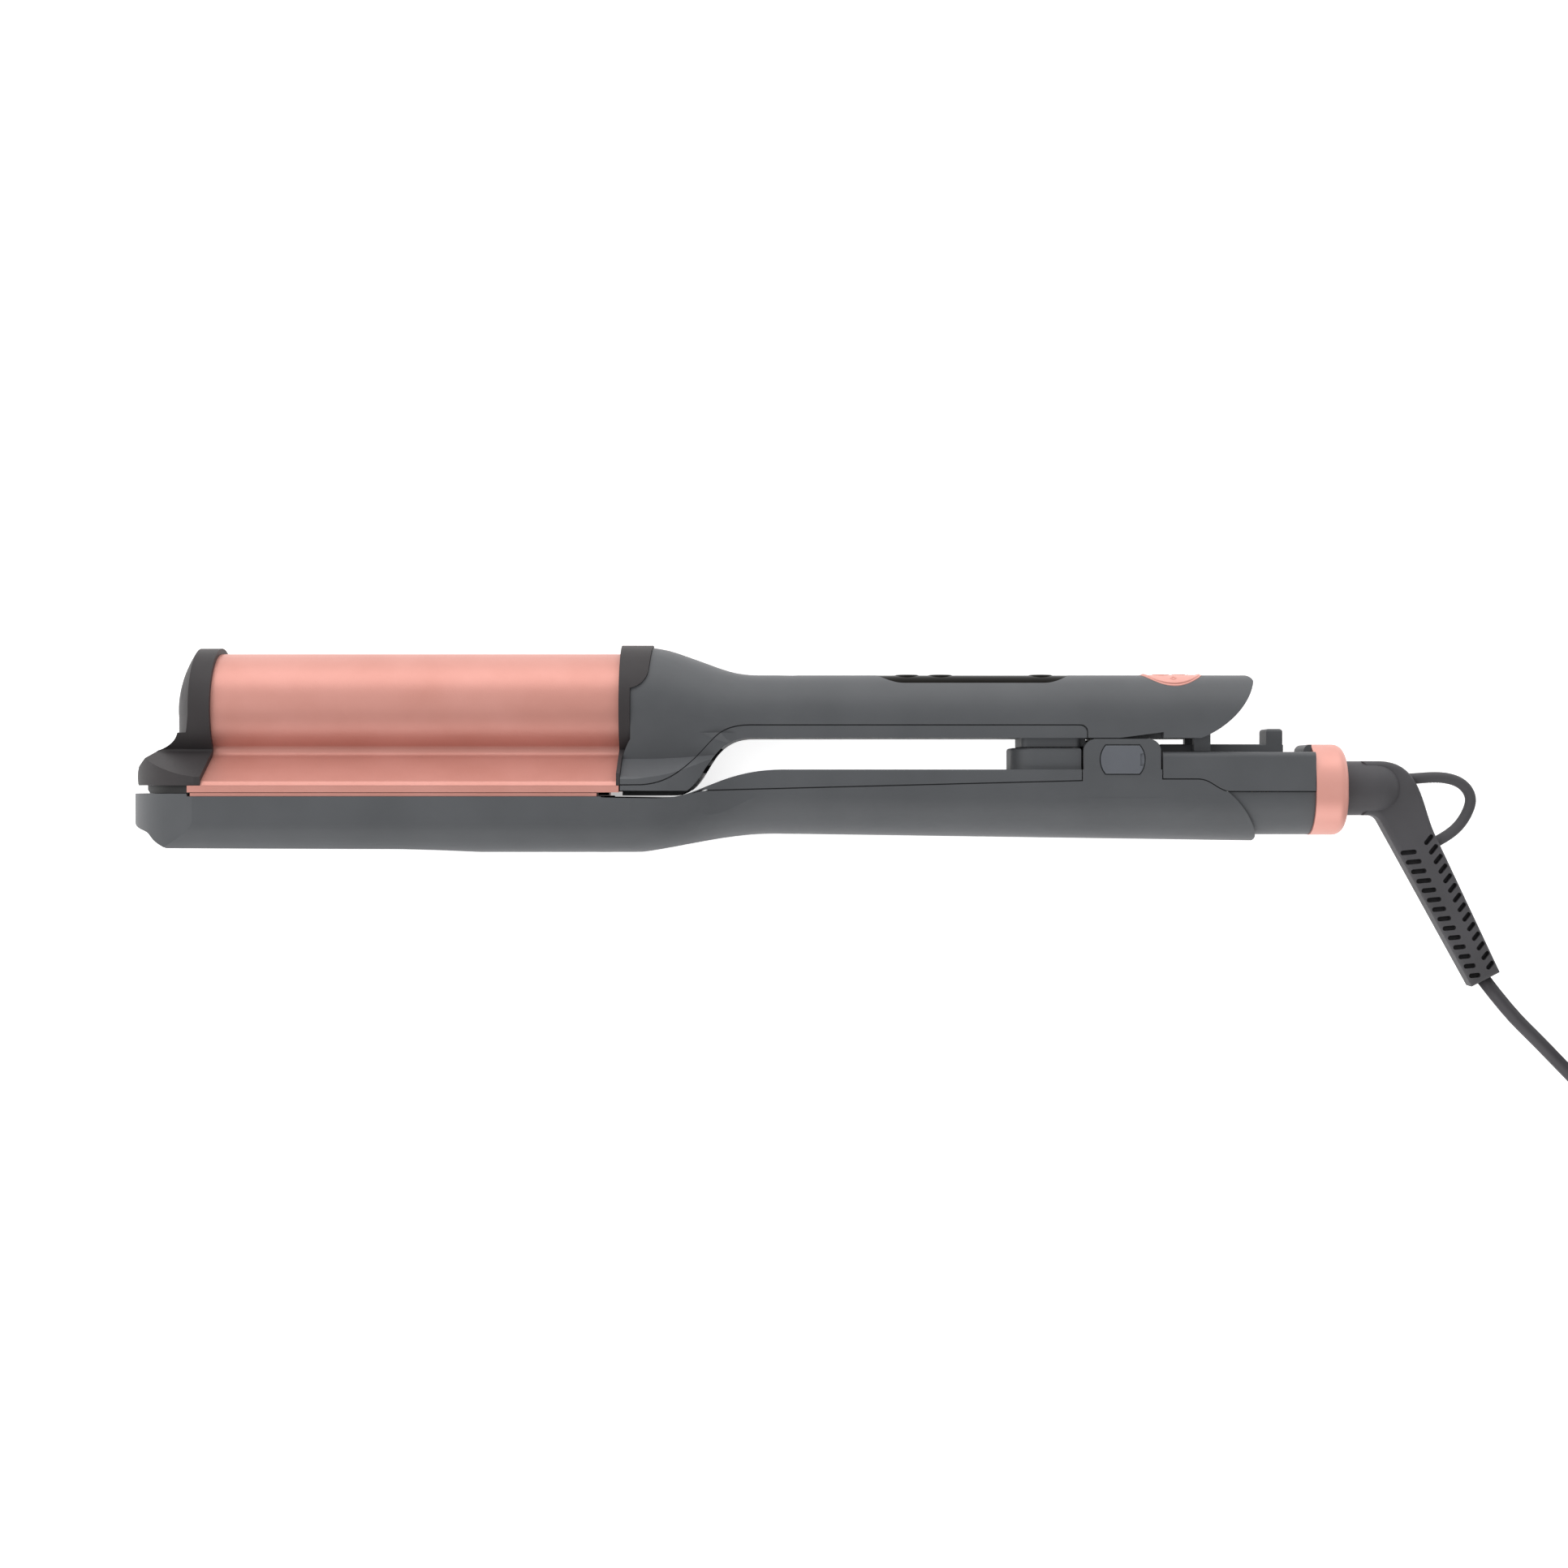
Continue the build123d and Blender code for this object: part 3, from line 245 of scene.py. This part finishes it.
line_data = smooth_line(route, "cord_line")
line_object = bpy.data.objects.new("cord_line", line_data)
line_mesh = bpy.data.meshes.new_from_object(line_object)
path = [v.co.copy() for v in line_mesh.vertices]
bpy.data.meshes.remove(line_mesh)
bpy.data.objects.remove(line_object)

# %% The cord's grooved skin
AROUND = 28
GROOVE = 0.2


def link(name, mesh, material, body):
    """Puts a finished mesh in the scene with its finish, riding on a body."""
    piece = bpy.data.objects.new(name, mesh)
    bpy.context.scene.collection.objects.link(piece)
    mesh.materials.append(material)
    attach(piece, body)
    return piece


def flex_section(k):
    """One point round the flex: a flat oval with two grooves on each face."""
    angle = 2 * math.pi * k / AROUND
    across, up = math.cos(angle), math.sin(angle)
    dip = 1 - GROOVE * max(0.0, math.cos(4 * angle + math.pi)) * abs(up)
    return across * CORD_WIDE / 2, up * CORD_THICK / 2 * dip


skin = bmesh.new()
rings = []
for i, place in enumerate(path):
    ahead = (path[min(i + 1, len(path) - 1)] - path[max(i - 1, 0)]).normalized()
    side = ahead.cross(Vector((0, 0, 1)))
    side.normalize()
    up = side.cross(ahead)
    ring = []
    for k in range(AROUND):
        a, b = flex_section(k)
        ring.append(skin.verts.new(place + side * a + up * b))
    edges = [skin.edges.new((ring[k], ring[(k + 1) % AROUND])) for k in range(AROUND)]
    if rings:
        bmesh.ops.bridge_loops(skin, edges=rings[-1] + edges)
    else:
        bmesh.ops.holes_fill(skin, edges=edges, sides=0)
    rings.append(edges)
bmesh.ops.holes_fill(skin, edges=rings[-1], sides=0)
bmesh.ops.recalc_face_normals(skin, faces=skin.faces)
for face in skin.faces:
    face.smooth = True
cord_mesh = bpy.data.meshes.new("mains_cord")
skin.to_mesh(cord_mesh)
skin.free()
cord = link("mains_cord", cord_mesh, FINISHES["cord_rubber"], "swivel")
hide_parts("cord_tube", "cord_tail", "cord_coil")
print("cord skin", len(cord_mesh.polygons), "faces")

# %% [markdown]
# ## Badge and key marks
# These are fine raised lines on curved tops. Each line is drawn in plan, dropped on to the part below it by
# casting rays, and given a low round section whose foot is sunk a little, so that no gap shows under it.

# %% A raised line on a curved top
SUNK = 0.12 * MM
WELL_ABOVE = 100 * MM
SAME_PLACE = 1e-6


def drop_on(tree, x, z):
    """Height of the surface under a point of the plan."""
    hit = tree.ray_cast(Vector((x, WELL_ABOVE, z)), Vector((0, -1, 0)))[0]
    return hit.y


def raised_lines(name, node, body, lines_mm, wide, high, slot_name):
    """Lines in plan about the middle of a node's top, raised from it."""
    below = frame["nodes"][node].data
    tree = BVHTree.FromPolygons([v.co for v in below.vertices], [p.vertices for p in below.polygons])
    low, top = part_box(node)
    centre_x, centre_z = (low[0] + top[0]) / 2, (low[2] + top[2]) / 2
    section = [(-0.5, -SUNK), (-0.34, high * 0.75), (0, high), (0.34, high * 0.75), (0.5, -SUNK)]
    made = bmesh.new()
    for line in lines_mm:
        places = [Vector((centre_x + x * MM, 0, centre_z + z * MM)) for x, z in line]
        is_loop = (places[0] - places[-1]).length < SAME_PLACE
        if is_loop:
            places.pop()
        count, chain = len(places), []
        for i, place in enumerate(places):
            before = places[i - 1] if i or is_loop else place
            after = places[(i + 1) % count] if i < count - 1 or is_loop else place
            ahead = (after - before).normalized()
            aside = Vector((-ahead.z, 0, ahead.x))
            ring = []
            for across, up in section:
                spot = place + aside * (across * wide)
                spot.y = drop_on(tree, place.x, place.z) + up
                ring.append(made.verts.new(spot))
            chain.append([made.edges.new((ring[k], ring[(k + 1) % len(ring)])) for k in range(len(ring))])
        for one, two in zip(chain, chain[1:] + chain[:1] if is_loop else chain[1:]):
            bmesh.ops.bridge_loops(made, edges=one + two)
        if not is_loop:
            bmesh.ops.holes_fill(made, edges=chain[0], sides=0)
            bmesh.ops.holes_fill(made, edges=chain[-1], sides=0)
    bmesh.ops.recalc_face_normals(made, faces=made.faces)
    mesh = bpy.data.meshes.new(name)
    made.to_mesh(mesh)
    made.free()
    piece = link(name, mesh, FINISHES[slot_name], body)
    return piece


def arc(cx, cz, radius, start, end, steps=24, grow=0.0):
    """Points round a centre, from one angle to another, with a radius that may grow on the way."""
    turn = [(start + (end - start) * k / steps, radius + grow * k / steps) for k in range(steps + 1)]
    return [(cx + r * math.cos(math.radians(a)), cz + r * math.sin(math.radians(a))) for a, r in turn]


# %% Badge rim, scroll and key marks
RIM_RADIUS = 7.9
RIM_WIDE, RIM_HIGH = 0.9 * MM, 0.3 * MM
SCROLL_WIDE, SCROLL_HIGH = 0.5 * MM, 0.2 * MM
MARK_WIDE, MARK_HIGH = 0.4 * MM, 0.04 * MM
MARK_REACH = 1.3

rim = [arc(0, 0, RIM_RADIUS, 0, 360, 72)]
raised_lines("badge_rim", "badge", "upper_arm", rim, RIM_WIDE, RIM_HIGH, "rose_satin")
scroll = [
    arc(-2.7, 0.3, 0.7, 0, 520, 48, grow=1.9),
    arc(2.7, -0.3, 0.7, 180, 700, 48, grow=1.9),
    [(0, 4.6), (0.8, 5.6), (0, 6.4), (-0.8, 5.6), (0, 4.6)],
    [(0, -4.6), (-0.8, -5.6), (0, -6.4), (0.8, -5.6), (0, -4.6)],
]
raised_lines("badge_scroll", "badge", "upper_arm", scroll, SCROLL_WIDE, SCROLL_HIGH, "rose_satin")
bar = [(-MARK_REACH, 0), (0, 0), (MARK_REACH, 0)]
post = [(0, -MARK_REACH), (0, 0), (0, MARK_REACH)]
open_ring, stem = arc(0, 0, MARK_REACH, 40, 320), [(0.2, 0), (1.1, 0), (2.0, 0)]
for mark, button, key, lines in (
    ("plus_mark", "plus_button", "plus_key", [bar, post]),
    ("minus_mark", "minus_button", "minus_key", [post]),
    ("power_mark", "power_button", "power_key", [open_ring, stem]),
):
    raised_lines(mark, button, key, lines, MARK_WIDE, MARK_HIGH, "key_print")

# %% [markdown]
# ## Light and table
# Two long soft boxes stand beside the iron, one past each arm, so that the coated barrel shows two broad
# highlights with a darker band between them. A small box past the tip lights the front cap. A dome fills the
# rest and keeps the table nearly white.

# %% Light and table
FOOT = Vector((0, 0, 0))
DOME_STRENGTH = 0.8
STRIP_GREY = 0.3
TABLE_HALF = 3.0


def soft_box(name, place, wide, deep, watts):
    """A flat lamp of that size and power, aimed at the middle of the iron's foot."""
    data = bpy.data.lights.new(name, "AREA")
    data.shape = "RECTANGLE"
    data.size, data.size_y = wide, deep
    data.energy = watts
    lamp = bpy.data.objects.new(name, data)
    lamp.location = place
    lamp.rotation_euler = (FOOT - Vector(place)).to_track_quat("-Z", "Y").to_euler()
    bpy.context.scene.collection.objects.link(lamp)


soft_box("upper_box", (0, 1.05, 0.42), 1.8, 0.8, 9)
soft_box("lower_box", (0, -0.8, 0.65), 1.8, 0.9, 8)
soft_box("end_box", (-0.9, 0.1, 0.8), 0.6, 0.9, 3)

# The dome is white, with a dimmer strip on the lower arm's side: that is the dark band along the barrel. The
# camera sees plain white in its place.
world = bpy.data.worlds.new("studio")
world.use_nodes = True
sky = world.node_tree
look = put(sky, "ShaderNodeTexCoord").outputs["Generated"]
towards = put(sky, "ShaderNodeSeparateXYZ", links={"Vector": look})
share = put(sky, "ShaderNodeMapRange", {"From Min": -1.0, "From Max": 1.0}, {"Value": towards.outputs["Y"]})
strip = put(sky, "ShaderNodeValToRGB", links={"Fac": share.outputs["Result"]})
for end, at in zip(strip.color_ramp.elements, (0.14, 0.5)):
    end.position, end.color = at, (1, 1, 1, 1)
for at in (0.22, 0.43):
    strip.color_ramp.elements.new(at).color = (STRIP_GREY, STRIP_GREY, STRIP_GREY, 1)
seen = put(sky, "ShaderNodeLightPath").outputs["Is Camera Ray"]
shown = put(sky, "ShaderNodeMath", {"operation": "MAXIMUM"}, {"Value": seen})
sky.links.new(strip.outputs["Color"], shown.inputs[1])
sky.links.new(shown.outputs["Value"], sky.nodes["Background"].inputs["Color"])
sky.nodes["Background"].inputs["Strength"].default_value = DOME_STRENGTH
bpy.context.scene.world = world
bpy.context.scene.view_settings.view_transform = "Standard"

table = bmesh.new()
bmesh.ops.create_grid(table, x_segments=1, y_segments=1, size=TABLE_HALF)
table_mesh = bpy.data.meshes.new("table")
table.to_mesh(table_mesh)
table.free()
table_object = bpy.data.objects.new("table", table_mesh)
bpy.context.scene.collection.objects.link(table_object)
# A light table: a little glow of its own keeps the shadows faint.
table_mesh.materials.append(finish("light_table", ("#F4F4F4", "#F6F6F6"), (0.7, 0.8), 0.5, 0.002,
                                   **{"Emission Color": (1, 1, 1, 1), "Emission Strength": 0.45}))
